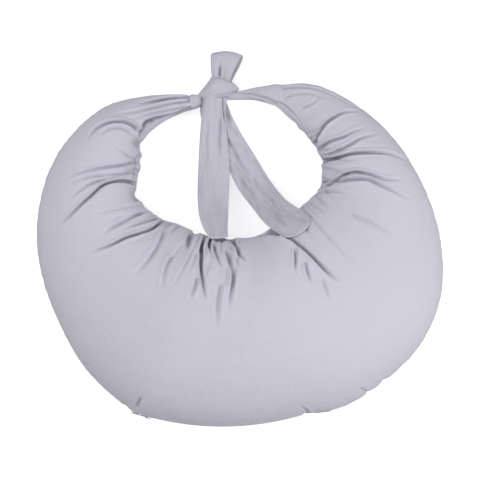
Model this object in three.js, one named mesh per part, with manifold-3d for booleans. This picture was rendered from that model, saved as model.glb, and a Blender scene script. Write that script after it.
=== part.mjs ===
// Crescent nursing pillow with a zipped cotton cover and two ties knotted across its opening.
// Millimetres, +Z up. The pillow lies flat: +X to its right arm, +Y to its knot, origin under the
// middle of its bounding box at the height of the surface it lies on.
import * as THREE from 'three';
import Module from 'manifold-3d';
import { mergeVertices } from 'three/addons/utils/BufferGeometryUtils.js';

const wasm = await Module();
wasm.setup();

// ---- Driving dimensions ----------------------------------------------------------------------

const LAYER_GAP = 0.3; // air kept between pieces that touch on the real pillow
const COVER_CLOTH = 1.0; // the cover's cotton with its seam allowance
const CASING_INSET = 5.0; // from the cover's outside to the casing's outside, room for the zip tape
const CASING_CLOTH = 0.8;
const FILL_INSET = CASING_INSET + CASING_CLOTH + LAYER_GAP;
const SECTION_STEPS = 8; // facets over each half of the cross-section
const RIM_BIAS = 0.5; // 0 spaces the facets evenly, towards 1 they get narrower at the rims
const STATIONS_PER_RUNG = 2; // cover facets between two rungs; the layers inside have one

// The zip lies in the outer seam along the belly, on a level arc of a circle.
const ZIP = {
  centre: new THREE.Vector3(-26, 138.5, 78), // the arc's centre, at the seam's height
  radius: 414,
  halfAngle: THREE.MathUtils.degToRad(16.85),
  window: 6, // half the height of the slot between the two panels
  tapeReach: 9, // from the seam line to the tape's sewn edge
  tapeInset: 3.3,
  tapeThickness: 0.6,
  coilHeight: 2.0, // of each of the two coils
  coilInset: 1.8,
  coilDepth: 1.2,
  arcSteps: 12,
};
const SLIDER = {
  length: 10,
  height: 8.4,
  plate: 1.3,
  lip: 1.2,
  clearance: 0.4,
  endMargin: THREE.MathUtils.degToRad(1.65), // from the tape's end to the slider's middle
  bridgeLength: 9,
  bridgeRise: 3.4,
  bridgeBar: 1.1,
  bridgeWidth: 2.4,
};
const PULL = { length: 27, width: 7.5, thickness: 1.1, bar: 1.2, slotLength: 7.2, slotWidth: 3.6 };
const STOP = { length: 3, height: 5, depth: 1.6 };

// The cover's outline, from the left horn's tip round the belly to the right horn's tip. A rung
// crosses the crescent: its outer and inner end, the seam's height there, how far the crown
// stands over the seam, and how deep the underside hangs below it before the floor flattens it.
const BELLY = { seam: ZIP.centre.z, crown: 94, keel: 94 };
const LEFT_RUNGS = [
  [-66, 213, -66, 193, 22, 8, 8],
  [-103, 214, -99, 181, 26, 14, 14],
  [-150, 210, -134, 158, 36, 28, 28],
  [-200, 196, -149, 130, 45, 44, 54],
  [-246, 157, -147, 106, 49, 53, 59],
  [-281, 104, -152, 82, 51, 58, 61],
  [-300, 20, -143, 50, 54, 62, 65],
  [-293, -52, -118, 31, 58, 68, 70],
  [-270, -116, -94, 22, 63, 75, 76],
  [-232, -185, -70, 12, 69, 83, 83],
  [-186, -232, -53, 6, 75, 90, 90],
];
const BELLY_INNER_EDGE = [[-40, 3], [-24, 1], [-8, 0], [8, 1], [22, 3], [36, 10]];
const RIGHT_RUNGS = [
  [150, -248, 51, 20, 75, 91, 90],
  [212, -210, 69, 34, 70, 84, 84],
  [262, -162, 88, 46, 64, 76, 77],
  [293, -100, 106, 61, 59, 69, 71],
  [300, -40, 119, 78, 55, 63, 66],
  [288, 35, 121, 99, 51, 57, 61],
  [258, 104, 118, 122, 48, 51, 57],
  [218, 160, 107, 142, 43, 43, 48],
  [165, 202, 88, 164, 36, 31, 31],
  [108, 227, 67, 185, 29, 19, 19],
  [53, 228, 51, 199, 24, 10, 10],
];

// Ties: folded strips of the cover's cloth.
const TIE = { width: 45, thickness: 2.6 };
const KNOT = { centre: new THREE.Vector3(-36, 219, 26), radii: new THREE.Vector3(23, 18, 19) };
const RIGHT_LEAD_ROUTE = [[50.5, 213.5, 24], [30, 213, 25], [8, 212.5, 26], [-12, 213, 26]];
const RIGHT_LEAD_WIDTHS = [27, 20, 12, 10];
const LEFT_LEAD_ROUTE = [[-65.5, 203, 22], [-62, 203.2, 22], [-58, 205, 23]];
const LEFT_LEAD_WIDTHS = [18, 15, 12];
const FRONT_TAIL_ROUTE = [[-39, 201, 42], [-39, 150, 32], [-39.5, 95, 36], [-37, 45, 68], [-30, 3, 107]];
const BACK_TAIL_ROUTE = [
  [-31, 199, 34], [-20, 152, 24], [4, 110, 24], [29, 74, 42], [43, 57, 66], [62, 38, 100], [84, 18, 130],
];
const LOOP = { x: -20, root: 237.5, reach: 274.5, rise: 14, cloth: 2.2, width: 44, z: 26, bendSteps: 8 };
const LABEL = { rung: 16.5, width: 24, drop: 14, cloth: 0.8 };

// ---- Materials ---------------------------------------------------------------------------------

const cloth = (colour) => new THREE.MeshStandardMaterial({ color: colour, roughness: 0.92, metalness: 0 });
const coverCloth = () => cloth(0xc6c4d0);
const tieCloth = () => cloth(0xb8b5c4);
const casingCloth = () => cloth(0xf1efea);
const fibre = () => cloth(0xf7f6f2);
const zipTape = () => cloth(0xbdbac8);
const labelCloth = () => cloth(0xf4f3f0);
const coilPlastic = () => new THREE.MeshStandardMaterial({ color: 0xb0adbc, roughness: 0.45, metalness: 0 });
const zipMetal = () => new THREE.MeshStandardMaterial({ color: 0xb7b8bc, roughness: 0.3, metalness: 1 });

// ---- Geometry helpers --------------------------------------------------------------------------

const object = new THREE.Group();

function addPiece(name, geometry, material, parent = object) {
  const mesh = new THREE.Mesh(geometry, material);
  mesh.name = name;
  parent.add(mesh);
  return mesh;
}

// Drops the triangles that collapse where an upper and a lower line share an end point.
function closedGeometry(points, triangles) {
  const geometry = new THREE.BufferGeometry();
  geometry.setAttribute('position', new THREE.Float32BufferAttribute(points.flatMap((p) => p.toArray()), 3));
  geometry.setIndex(triangles.flat());
  const merged = mergeVertices(geometry, 1e-4);
  const old = merged.getIndex().array;
  const kept = [];
  for (let i = 0; i < old.length; i += 3) {
    const [a, b, c] = [old[i], old[i + 1], old[i + 2]];
    if (a !== b && b !== c && c !== a) kept.push(a, b, c);
  }
  merged.setIndex(kept);
  merged.computeVertexNormals();
  return merged;
}

// A closed body between matching upper and lower lines: lines[i][j] runs along the body with i
// and across it with j.
function loft(uppers, lowers) {
  const rows = uppers.length;
  const columns = uppers[0].length;
  const points = [...uppers.flat(), ...lowers.flat()];
  const upper = (i, j) => i * columns + j;
  const lower = (i, j) => rows * columns + i * columns + j;
  const triangles = [];
  const quad = (a, b, c, d) => triangles.push([a, b, c], [a, c, d]);
  for (let i = 0; i + 1 < rows; i += 1) {
    for (let j = 0; j + 1 < columns; j += 1) {
      quad(upper(i, j), upper(i + 1, j), upper(i + 1, j + 1), upper(i, j + 1));
      quad(lower(i, j), lower(i, j + 1), lower(i + 1, j + 1), lower(i + 1, j));
    }
    quad(upper(i, 0), lower(i, 0), lower(i + 1, 0), upper(i + 1, 0));
    const last = columns - 1;
    quad(upper(i, last), upper(i + 1, last), lower(i + 1, last), lower(i, last));
  }
  for (let j = 0; j + 1 < columns; j += 1) {
    quad(upper(0, j), upper(0, j + 1), lower(0, j + 1), lower(0, j));
    quad(upper(rows - 1, j), lower(rows - 1, j), lower(rows - 1, j + 1), upper(rows - 1, j + 1));
  }
  return closedGeometry(points, triangles);
}

function toSolid(geometry) {
  const bare = geometry.clone();
  bare.deleteAttribute('normal');
  bare.deleteAttribute('uv');
  const merged = mergeVertices(bare, 1e-4);
  const index = merged.getIndex().array;
  const mesh = new wasm.Mesh({
    numProp: 3,
    vertProperties: new Float32Array(merged.attributes.position.array),
    triVerts: new Uint32Array(index),
  });
  return new wasm.Manifold(mesh);
}

function toGeometry(solid) {
  const mesh = solid.getMesh();
  const geometry = new THREE.BufferGeometry();
  geometry.setAttribute('position', new THREE.BufferAttribute(mesh.vertProperties, 3));
  geometry.setIndex(new THREE.BufferAttribute(mesh.triVerts, 1));
  geometry.computeVertexNormals();
  return geometry;
}

// ---- The crescent ------------------------------------------------------------------------------

function bellyRungs() {
  const last = BELLY_INNER_EDGE.length - 1;
  return BELLY_INNER_EDGE.map(([x, y], i) => {
    const angle = -Math.PI / 2 + ZIP.halfAngle * ((2 * i) / last - 1);
    return [
      ZIP.centre.x + ZIP.radius * Math.cos(angle), ZIP.centre.y + ZIP.radius * Math.sin(angle),
      x, y, BELLY.seam, BELLY.crown, BELLY.keel,
    ];
  });
}

const RUNGS = [...LEFT_RUNGS, ...bellyRungs(), ...RIGHT_RUNGS];
const LAST_RUNG = RUNGS.length - 1;
const FIRST_ZIP_RUNG = LEFT_RUNGS.length;
const LAST_ZIP_RUNG = FIRST_ZIP_RUNG + BELLY_INNER_EDGE.length - 1;
const smooth = (points) => new THREE.CatmullRomCurve3(points, false, 'centripetal');
const outerEdge = smooth(RUNGS.map((r) => new THREE.Vector3(r[0], r[1], r[4])));
const innerEdge = smooth(RUNGS.map((r) => new THREE.Vector3(r[2], r[3], r[4])));
const swell = smooth(RUNGS.map((r, i) => new THREE.Vector3(r[5], r[6], i)));

function station(rung) {
  const outer = outerEdge.getPoint(rung / LAST_RUNG);
  const inner = innerEdge.getPoint(rung / LAST_RUNG);
  const middle = outer.clone().add(inner).multiplyScalar(0.5);
  const seam = (outer.z + inner.z) / 2;
  const { x: crown, y: keel } = swell.getPoint(rung / LAST_RUNG);
  const half = outer.clone().sub(inner).setZ(0).multiplyScalar(0.5);
  return { rung, middle, seam, crown, keel, half };
}

// A point of the cross-section, from the outer rim (0) over the crown to the inner rim (pi) and
// back under the keel. The floor flattens the underside.
function sectionPoint(at, angle, inset) {
  const rise = (Math.sin(angle) >= 0 ? at.crown : at.keel) - inset;
  const across = (1 - inset / at.half.length()) * Math.cos(angle);
  const point = at.middle.clone().addScaledVector(at.half, across);
  point.z = Math.max(inset, at.seam + rise * Math.sin(angle));
  return point;
}

// One line over the upper (side = 1) or under the lower (side = -1) half of a section. The rims
// stop short of the seam plane, and beside the zip the outer rim draws back to leave its slot.
function halfSection(at, side, inset, beside) {
  const line = [];
  for (let j = 0; j <= SECTION_STEPS; j += 1) {
    const turn = (2 * Math.PI * j) / SECTION_STEPS;
    line.push(sectionPoint(at, (side * (turn - RIM_BIAS * Math.sin(turn))) / 2, inset));
  }
  const besideZip = at.rung >= FIRST_ZIP_RUNG && at.rung <= LAST_ZIP_RUNG;
  const drawBack = beside && besideZip ? ZIP.window : LAYER_GAP / 2;
  line[0] = raiseRim(line[0], line[1], at.seam + side * drawBack);
  line[SECTION_STEPS] = raiseRim(line[SECTION_STEPS], line[SECTION_STEPS - 1], at.seam + (side * LAYER_GAP) / 2);
  return line;
}

function raiseRim(rim, next, height) {
  return rim.clone().lerp(next, (height - rim.z) / (next.z - rim.z));
}

function stations(first, last, perRung) {
  const list = [];
  for (let k = 0; k <= (last - first) * perRung; k += 1) list.push(station(first + k / perRung));
  return list;
}

function panelShell(side, inset, thickness, at, beside) {
  const outside = at.map((s) => halfSection(s, side, inset, beside));
  const inside = at.map((s) => halfSection(s, side, inset + thickness, beside));
  return side > 0 ? loft(outside, inside) : loft(inside, outside);
}

function buildCover() {
  const at = stations(0, LAST_RUNG, STATIONS_PER_RUNG);
  addPiece('cover_top_panel', panelShell(1, 0, COVER_CLOTH, at, true), coverCloth());
  addPiece('cover_bottom_panel', panelShell(-1, 0, COVER_CLOTH, at, true), coverCloth());
}

// The stuffed casing stops short of the horns, whose cover sleeves run on empty to the ties.
function buildCasingAndFill() {
  const casingAt = stations(2, LAST_RUNG - 2, 1);
  addPiece('inner_casing_top', panelShell(1, CASING_INSET, CASING_CLOTH, casingAt, false), casingCloth());
  addPiece('inner_casing_bottom', panelShell(-1, CASING_INSET, CASING_CLOTH, casingAt, false), casingCloth());
  const fillTop = casingAt.map((s) => halfSection(s, 1, FILL_INSET, false));
  const fillBottom = casingAt.map((s) => halfSection(s, -1, FILL_INSET, false));
  addPiece('fibre_fill', loft(fillTop, fillBottom), fibre());
}

// ---- The zip -----------------------------------------------------------------------------------

// A band of the zip's arc, from one radius to another and from one height over the seam to another.
function arcBand(innerInset, outerInset, low, high, halfAngle) {
  const start = -Math.PI / 2 - halfAngle;
  const end = -Math.PI / 2 + halfAngle;
  const shape = new THREE.Shape();
  shape.absarc(0, 0, ZIP.radius - outerInset, start, end, false);
  shape.absarc(0, 0, ZIP.radius - innerInset, end, start, true);
  const options = { depth: high - low, bevelEnabled: false, curveSegments: ZIP.arcSteps };
  return new THREE.ExtrudeGeometry(shape, options).translate(0, 0, low);
}

function buildZipChain(zip) {
  const tapeBack = ZIP.tapeInset + ZIP.tapeThickness;
  const coilBack = ZIP.coilInset + ZIP.coilDepth;
  const coilEnd = ZIP.halfAngle - (STOP.length + LAYER_GAP) / ZIP.radius;
  for (const [name, low, high] of [['upper', 0, 1], ['lower', -1, 0]]) {
    const clear = (edge, reach) => (edge === 0 ? (Math.sign(low + high) * LAYER_GAP) / 2 : edge * reach);
    const tape = arcBand(
      tapeBack, ZIP.tapeInset, clear(low, ZIP.tapeReach), clear(high, ZIP.tapeReach), ZIP.halfAngle,
    );
    addPiece(`zip_tape_${name}`, tape, zipTape(), zip);
    const coil = arcBand(
      coilBack, ZIP.coilInset, clear(low, ZIP.coilHeight), clear(high, ZIP.coilHeight), coilEnd,
    );
    addPiece(`zip_coil_${name}`, coil, coilPlastic(), zip);
  }
}

function onZipArc(zip, angle) {
  const place = new THREE.Group();
  place.rotation.z = angle;
  zip.add(place);
  return place;
}

// In these local frames +X points out of the pillow and +Y along the zip.
function buildStops(zip) {
  const inset = ZIP.coilInset + ZIP.coilDepth - STOP.depth / 2;
  const toEnd = ZIP.halfAngle - STOP.length / 2 / ZIP.radius;
  for (const [name, side] of [['zip_top_stop', -1], ['zip_bottom_stop', 1]]) {
    const stop = new THREE.BoxGeometry(STOP.depth, STOP.length, STOP.height);
    stop.translate(ZIP.radius - inset, 0, 0);
    addPiece(name, stop, zipMetal(), onZipArc(zip, -Math.PI / 2 + side * toEnd));
  }
}

function sliderSolid() {
  const face = ZIP.radius - ZIP.coilInset + SLIDER.clearance;
  const lipDepth = ZIP.coilDepth;
  const plate = new THREE.BoxGeometry(SLIDER.plate, SLIDER.length, SLIDER.height);
  plate.translate(face + SLIDER.plate / 2, 0, 0);
  let solid = toSolid(plate);
  for (const side of [-1, 1]) {
    const lip = new THREE.BoxGeometry(lipDepth + SLIDER.plate / 2, SLIDER.length, SLIDER.lip);
    lip.translate(face + (SLIDER.plate / 2 - lipDepth) / 2, 0, side * (SLIDER.height - SLIDER.lip) / 2);
    solid = solid.add(toSolid(lip));
  }
  return solid.add(toSolid(bridgeGeometry(face + SLIDER.plate)));
}

// The arch that the pull swings on: its legs stand on the plate, at either end of the slider.
function bridgeGeometry(base) {
  const half = SLIDER.bridgeLength / 2;
  const sunk = SLIDER.plate / 2;
  const arch = new THREE.Shape();
  arch.moveTo(-sunk, -half);
  arch.lineTo(SLIDER.bridgeRise - 1, -half);
  arch.lineTo(SLIDER.bridgeRise, -half + 1);
  arch.lineTo(SLIDER.bridgeRise, half - 1);
  arch.lineTo(SLIDER.bridgeRise - 1, half);
  arch.lineTo(-sunk, half);
  arch.lineTo(-sunk, half - SLIDER.bridgeBar);
  arch.lineTo(SLIDER.bridgeRise - SLIDER.bridgeBar, half - SLIDER.bridgeBar);
  arch.lineTo(SLIDER.bridgeRise - SLIDER.bridgeBar, -half + SLIDER.bridgeBar);
  arch.lineTo(-sunk, -half + SLIDER.bridgeBar);
  arch.closePath();
  const geometry = new THREE.ExtrudeGeometry(arch, { depth: SLIDER.bridgeWidth, bevelEnabled: false });
  return geometry.translate(base, 0, -SLIDER.bridgeWidth / 2);
}

// A flat tab whose end bar lies under the bridge; the bar's middle is the pull's hinge.
function pullGeometry() {
  const half = PULL.width / 2;
  const tip = PULL.length - half;
  const tab = new THREE.Shape();
  tab.moveTo(-half, -PULL.bar / 2);
  tab.lineTo(half, -PULL.bar / 2);
  tab.lineTo(half, tip);
  tab.absarc(0, tip, half, 0, Math.PI, false);
  tab.closePath();
  const slot = new THREE.Path();
  slot.moveTo(-PULL.slotWidth / 2, PULL.bar / 2);
  slot.lineTo(-PULL.slotWidth / 2, PULL.bar / 2 + PULL.slotLength);
  slot.lineTo(PULL.slotWidth / 2, PULL.bar / 2 + PULL.slotLength);
  slot.lineTo(PULL.slotWidth / 2, PULL.bar / 2);
  slot.closePath();
  tab.holes.push(slot);
  const options = { depth: PULL.thickness, bevelEnabled: false, curveSegments: 10 };
  return new THREE.ExtrudeGeometry(tab, options).translate(0, 0, -PULL.thickness / 2).rotateY(Math.PI / 2);
}

function buildSliderAndPull(zip) {
  const place = onZipArc(zip, -Math.PI / 2 - ZIP.halfAngle + SLIDER.endMargin);
  addPiece('zip_slider', toGeometry(sliderSolid()), zipMetal(), place);
  const face = ZIP.radius - ZIP.coilInset + SLIDER.clearance + SLIDER.plate;
  const pull = addPiece('zip_pull', pullGeometry(), zipMetal(), place);
  pull.position.x = face + (SLIDER.bridgeRise - SLIDER.bridgeBar) / 2;
  pull.rotation.z = Math.PI; // it lies past the closed end of the zip
}

function buildZip() {
  const zip = new THREE.Group();
  zip.position.copy(ZIP.centre);
  object.add(zip);
  buildZipChain(zip);
  buildStops(zip);
  buildSliderAndPull(zip);
}

// ---- The ties ----------------------------------------------------------------------------------

// A flat strip along a route, level across its width.
function strip(route, widthAt, thickness, steps) {
  const path = smooth(route.map((p) => new THREE.Vector3(...p)));
  const uppers = [];
  const lowers = [];
  for (let i = 0; i <= steps; i += 1) {
    const along = i / steps;
    const centre = path.getPoint(along);
    const tangent = path.getTangent(along);
    const across = new THREE.Vector3(tangent.y, -tangent.x, 0).normalize();
    const up = new THREE.Vector3().crossVectors(across, tangent).normalize();
    const half = widthAt(along) / 2;
    const edge = (sideways, upwards) =>
      centre.clone().addScaledVector(across, sideways * half).addScaledVector(up, (upwards * thickness) / 2);
    uppers.push([edge(-1, 1), edge(1, 1)]);
    lowers.push([edge(-1, -1), edge(1, -1)]);
  }
  return loft(lowers, uppers);
}

function between(values) {
  return (along) => {
    const place = along * (values.length - 1);
    const first = Math.min(Math.floor(place), values.length - 2);
    return THREE.MathUtils.lerp(values[first], values[first + 1], place - first);
  };
}

function buildLeads() {
  const left = strip(LEFT_LEAD_ROUTE, between(LEFT_LEAD_WIDTHS), 3 * TIE.thickness, 3);
  addPiece('tie_left_lead', left, tieCloth());
  const right = strip(RIGHT_LEAD_ROUTE, between(RIGHT_LEAD_WIDTHS), 3 * TIE.thickness, 8);
  addPiece('tie_right_lead', right, tieCloth());
}

function buildKnot() {
  const knot = addPiece('knot_wrap', new THREE.SphereGeometry(1, 20, 12), tieCloth());
  knot.position.copy(KNOT.centre);
  knot.scale.copy(KNOT.radii);
}

// The half bow: a strip folded back on itself, open at both sides.
function buildLoop() {
  const half = LOOP.rise / 2;
  const ring = (inset) => {
    const line = new THREE.Path();
    line.absarc(LOOP.root + half, 0, half - inset, Math.PI / 2, (3 * Math.PI) / 2, false);
    line.absarc(LOOP.reach - half, 0, half - inset, -Math.PI / 2, Math.PI / 2, false);
    line.closePath();
    return line;
  };
  const section = new THREE.Shape(ring(0).getPoints(LOOP.bendSteps));
  section.holes.push(new THREE.Path(ring(LOOP.cloth).getPoints(LOOP.bendSteps)));
  const geometry = new THREE.ExtrudeGeometry(section, { depth: LOOP.width, bevelEnabled: false });
  geometry.translate(0, 0, -LOOP.width / 2);
  geometry.applyMatrix4(new THREE.Matrix4().makeBasis(
    new THREE.Vector3(0, 1, 0), new THREE.Vector3(0, 0, 1), new THREE.Vector3(1, 0, 0),
  ));
  const loop = addPiece('bow_loop', geometry, tieCloth());
  loop.position.set(LOOP.x, 0, LOOP.z);
}

function buildTails() {
  const width = () => TIE.width;
  addPiece('tail_front', strip(FRONT_TAIL_ROUTE, width, TIE.thickness, 12), tieCloth());
  addPiece('tail_back', strip(BACK_TAIL_ROUTE, width, TIE.thickness, 16), tieCloth());
}

// A blank label caught in the seam beside the zip, hanging down its underside.
function buildLabel() {
  const seamPoint = outerEdge.getPoint(LABEL.rung / LAST_RUNG);
  const along = outerEdge.getTangent(LABEL.rung / LAST_RUNG);
  const label = new THREE.BoxGeometry(LABEL.width, LABEL.cloth, LABEL.drop);
  label.translate(0, -LABEL.cloth / 2 - LAYER_GAP, -LABEL.drop / 2);
  const mesh = addPiece('care_label', label, labelCloth());
  mesh.position.copy(seamPoint);
  mesh.rotation.z = Math.atan2(along.y, along.x);
}

buildCover();
buildCasingAndFill();
buildZip();
buildLeads();
buildKnot();
buildLoop();
buildTails();
buildLabel();

export default object;
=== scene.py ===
import math

import bmesh
import bpy
import numpy as np
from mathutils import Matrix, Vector
from mathutils.bvhtree import BVHTree


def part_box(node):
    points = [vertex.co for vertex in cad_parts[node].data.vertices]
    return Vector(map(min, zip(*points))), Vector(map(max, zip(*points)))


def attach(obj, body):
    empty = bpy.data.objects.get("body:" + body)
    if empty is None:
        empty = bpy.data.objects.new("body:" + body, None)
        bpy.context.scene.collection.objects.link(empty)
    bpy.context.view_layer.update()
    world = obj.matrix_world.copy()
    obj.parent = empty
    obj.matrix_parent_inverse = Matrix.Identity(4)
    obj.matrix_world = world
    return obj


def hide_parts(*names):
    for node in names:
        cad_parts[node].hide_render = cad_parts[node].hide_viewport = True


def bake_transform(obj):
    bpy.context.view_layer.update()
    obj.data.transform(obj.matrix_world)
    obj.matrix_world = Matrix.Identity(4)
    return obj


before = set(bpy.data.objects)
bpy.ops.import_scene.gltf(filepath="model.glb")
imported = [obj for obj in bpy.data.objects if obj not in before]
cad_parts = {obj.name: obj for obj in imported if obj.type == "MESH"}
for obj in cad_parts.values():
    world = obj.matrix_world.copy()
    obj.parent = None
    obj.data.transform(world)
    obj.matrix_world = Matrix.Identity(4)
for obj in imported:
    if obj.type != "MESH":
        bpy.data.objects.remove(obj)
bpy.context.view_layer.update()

MM = 0.001

# ==== Driving dimensions, in millimetres unless said ====

# ---- The cover's outline and grid ----

# A rung crosses the crescent: outer x, y, inner x, y, seam height, crown over the seam, keel under
# it. The floor flattens what the keel would push through it.
LEFT_RUNGS = [
    (-66, 213, -66, 193, 22, 8, 8),
    (-103, 214, -99, 181, 26, 14, 14),
    (-150, 210, -134, 158, 36, 28, 28),
    (-200, 196, -149, 130, 45, 44, 54),
    (-246, 157, -147, 106, 49, 53, 59),
    (-281, 104, -152, 82, 51, 58, 61),
    (-300, 20, -143, 50, 54, 62, 65),
    (-293, -52, -118, 31, 58, 68, 70),
    (-270, -116, -94, 22, 63, 75, 76),
    (-232, -185, -70, 12, 69, 83, 83),
    (-186, -232, -53, 6, 75, 90, 90),
]
BELLY_INNER_EDGE = [(-40, 3), (-24, 1), (-8, 0), (8, 1), (22, 3), (36, 10)]
RIGHT_RUNGS = [
    (150, -248, 51, 20, 75, 91, 90),
    (212, -210, 69, 34, 70, 84, 84),
    (262, -162, 88, 46, 64, 76, 77),
    (293, -100, 106, 61, 59, 69, 71),
    (300, -40, 119, 78, 55, 63, 66),
    (288, 35, 121, 99, 51, 57, 61),
    (258, 104, 118, 122, 48, 51, 57),
    (218, 160, 107, 142, 43, 43, 48),
    (165, 203.5, 88, 164, 36, 31, 31),
    (108, 229.5, 67, 185, 29, 19, 19),
    (53, 228, 51, 199, 24, 10, 10),
]
BELLY = (78, 94, 94)  # seam height, crown and keel between the two sides
ZIP_CENTRE = (-26, 138.5, 78)
ZIP_RADIUS = 414
ZIP_HALF_ANGLE = math.radians(16.85)

STATIONS = 300  # rings along the crescent while the cloth settles
HALF_STEPS = 44  # facets over each half of a ring
FINE_ROWS = 1000  # rings, and steps round the upper and the lower half of each, once it has settled
FINE_UPPER = 210
FINE_LOWER = 70
RIM_BIAS = 0.45  # how much closer a ring's steps stand at its two rims
EASE_SHARE = 22  # the swell is evened out over one ring in so many, to each side
INNER_INSET = 17  # from the cover to the stuffed casing that the model shows inside it
INNER_STATIONS = 90
INNER_STEPS = 16
INNER_ENDS = 2  # rungs that the casing stops short of the cover's at each end

# ---- Creases, wrinkles and ripples of the cover ----

# Creases of the cover's upper side, from where they start to where they fade. Each is its route in
# plan, how deep it is, how wide, and how far the cloth rolls up on its left and on its right.
CREASES = [
    ([(-150, 80), (-168, 84), (-185, 83), (-200, 77), (-214, 64), (-230, 50), (-246, 34), (-264, 18)],
     9, 4.0, 3, 3),
    ([(-152, 113), (-172, 107), (-200, 103), (-228, 97), (-256, 88)], 4.5, 4, 2, 2),
    ([(-157, 97), (-176, 93), (-200, 91), (-221, 89), (-246, 80)], 4, 4, 2, 1),
    ([(-178, 90), (-190, 88), (-205, 83), (-221, 77), (-248, 57)], 4, 4, 2, 1),
    ([(-148, 158), (-158, 166), (-170, 171), (-185, 171), (-198, 168), (-212, 160), (-225, 142)],
     7, 4, 1, 4),
    ([(-160, 156), (-172, 162), (-188, 162), (-205, 152)], 3, 5, 1, 2),
    ([(-147, 128), (-152, 118), (-153, 104), (-155, 90), (-156, 76)], 5, 2.6, 0, 0),
    ([(-149, -246), (-147, -239), (-142, -228)], 4.5, 4, 1, 2),
    ([(103, -257), (96, -250), (87, -243)], 3.5, 3.5, 1, 1),
    ([(190, -228), (182, -222), (173, -217)], 3.5, 3.5, 1, 1),
    ([(28, 7), (38, 10), (48, 11), (58, 8), (68, 1)], 13, 10, 0, 3),
    ([(-140, 39), (-153, 33), (-174, 22), (-200, 7)], 4, 5, 2, 2),
    ([(-118, 31), (-130, 27), (-145, 22), (-167, 16)], 4, 4, 2, 2),
    ([(-112, 28), (-127, 15), (-146, 7), (-165, 1), (-188, -10), (-218, -20)], 8, 3.8, 3, 3),
    ([(-64, 211), (-90, 209.5), (-120, 206), (-152, 199)], 10, 3.2, 0, 1),
    ([(-66, 206), (-100, 201), (-140, 190), (-190, 181)], 3.5, 4, 1, 2),
    ([(-70, 197), (-100, 190), (-140, 181), (-168, 173)], 3, 4, 1, 2),
    ([(-66, 198), (-92, 187), (-118, 180), (-138, 174), (-145, 160), (-149, 146)], 9, 3.5, 0, 2),
    ([(-126, 176), (-139, 171), (-144, 158), (-147, 148)], 10, 5, 0, 2),
    ([(-51, 4), (-55, -12), (-56, -30), (-55, -52), (-49, -88)], 11, 4, 3, 3),
    ([(-30, 3), (-41, 0), (-44, -8), (-42, -22)], 11, 3, 2, 2),
    ([(-10, 1), (-20, 0), (-32, 0), (-44, 3)], 7, 3, 0, 1),
    ([(-38, -8), (-34, -22), (-26, -42)], 5, 4, 2, 2),
    ([(-20, -16), (-14, -32), (-9, -53), (-13, -80), (-17, -98)], 5, 5, 3, 2),
    ([(-27, -64), (-31, -90), (-34, -128)], 3, 6, 2, 1),
    ([(-14, 2), (-6, -10), (0, -23), (10, -33)], 7, 4, 2, 2),
    ([(-110, 14), (-116, -4), (-130, -28), (-152, -52)], 4, 6, 1, 2),
    ([(-60, -56), (-65, -72), (-72, -86)], 3.5, 5, 2, 1),
    ([(-97, -24), (-106, -41), (-112, -71)], 3, 5, 1, 2),
    ([(-71, 8), (-74, -4), (-77, -16)], 6, 6, 2, 2),
    ([(56, 6), (68, -1), (80, -8), (94, -19), (110, -34), (125, -48), (142, -61)], 13, 4.5, 1, 6),
    ([(80, -16), (80, -30), (79, -48)], 5, 4, 2, 2),
    ([(94, -34), (97, -48), (102, -64)], 4, 4, 2, 2),
    ([(118, -58), (123, -72), (129, -90)], 3, 5, 1, 1),
    ([(111, 134), (113, 146), (118, 156), (126, 168), (141, 179), (155, 186), (176, 188)], 7, 4, 2, 3),
    ([(116, 131), (132, 142), (150, 148), (165, 156), (184, 164)], 5, 4, 2, 2),
    ([(126, 121), (141, 127), (160, 137), (179, 148), (203, 155)], 5, 4.5, 2, 2),
    ([(117, 115), (130, 116), (150, 121), (168, 125), (202, 126), (223, 124), (247, 115)], 9, 4, 3, 2),
    ([(119, 76), (130, 79), (140, 86), (152, 93), (166, 97), (183, 95), (202, 89), (217, 86), (238, 87)],
     8, 4, 3, 2),
    ([(138, 83), (160, 86), (180, 87), (190, 85), (202, 79), (222, 70), (249, 58)], 6, 4.5, 2, 2),
    ([(108, 66), (125, 69), (152, 67)], 3, 4, 1, 1),
    ([(112, 85), (123, 82), (135, 87)], 7, 4, 2, 2),
    ([(158, 38), (185, 26), (228, 2)], 2.5, 7, 1, 1),
    ([(66, 208), (84, 214), (104, 214), (130, 206)], 2, 4, 1, 1),
    ([(92, 193), (106, 199), (117, 210)], 2, 4, 1, 1),
    ([(54, 205), (68, 196), (80, 184), (90, 170)], 3, 2.5, 1, 0),
    ([(60, 222), (90, 224), (120, 219), (150, 205), (176, 190)], 3, 3, 1, 1),
]
CREASE_SAMPLES = 14  # points along a crease for each point of its route
CREASE_ROOM = 0.3  # deepest a crease may go, as a share of the crown
CREASE_HEAD = 0.06  # share of a crease's length over which it opens
CREASE_START = 0.25  # share of its depth at its very start
CREASE_TAIL = 0.5  # share over which it fades
# In widths of the crease: how far from its line it moves the cloth, how far past its ends it goes, its
# half width on the side that rolls up the more and on the other, and where its rolls are and how wide.
CREASE_REACH = 5
CREASE_END = 1.5
CREASE_STEEP = 0.75
CREASE_GENTLE = 1.25
ROLL_PLACE = 2.3
ROLL_WIDTH = 1.3
# Each pass of the creases: how wide they are beside their own width, and the power of their profile,
# which makes a sharper valley the lower it is.
BROAD = (1.0, 1.4)
CRISP = (0.42, 1.1)
CRISP_DEPTH = 1.15
PAINTED_CREASE_SHADE_DEPTH = 6  # the depth at which the shade painted into a crease is darkest
# Nicks in the outline: x, y, depth, width.
NOTCHES = [
    (-152, -251, -3.2, 9), (94, -257, 3, 4), (190, -228, 3.5, 4), (213, -211, 4, 4), (-115, 27, 4, 4),
    (122, 113, 4, 4), (-148, 140, 5, 6), (-145, 123, -7, 5), (-150, 66, 6, 9), (-66, 9, 4, 4),
    (118, 66, 3, 4), (-44, 3, 3, 3),
]
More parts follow.
